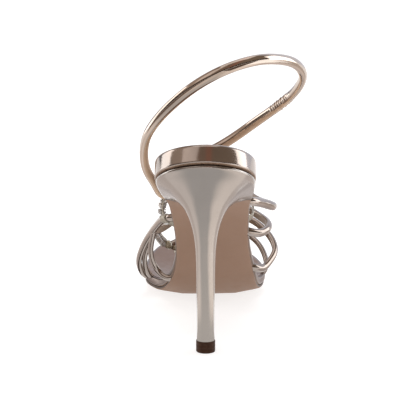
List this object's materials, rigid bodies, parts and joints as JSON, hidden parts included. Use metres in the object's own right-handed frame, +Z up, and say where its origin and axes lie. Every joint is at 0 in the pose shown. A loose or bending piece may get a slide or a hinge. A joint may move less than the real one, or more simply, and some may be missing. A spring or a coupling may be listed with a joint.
{
  "type": "strappy sandal",
  "caption": "High-heeled strappy sandal for the right foot: arched sole on a slim stem heel, crossing vamp straps with crystal bands and a looped ankle strap.",
  "frame": {"origin": "on the floor under the middle of the shoe's box, standing empty on its heel tip and forefoot", "axes": "+Y from heel to toe, +X to the lateral side, +Z up"},
  "size_m": [0.0996, 0.219, 0.1605],
  "materials": {
    "champagne_leather": "mirror-bright champagne metallic",
    "outsole_leather": "smooth tan, satin",
    "top_piece_plastic": "dark brown, satin",
    "sock_leather": "soft mauve metallic",
    "strap_lining": "smooth golden brown",
    "crystal": "cut and clear"
  },
  "bodies": {
    "root": {"footbed": "champagne_leather", "outsole": "outsole_leather", "heel": "champagne_leather", "top_piece": "top_piece_plastic", "upper_straps": "champagne_leather", "ankle_strap": "champagne_leather"}
  },
  "joints": []
}
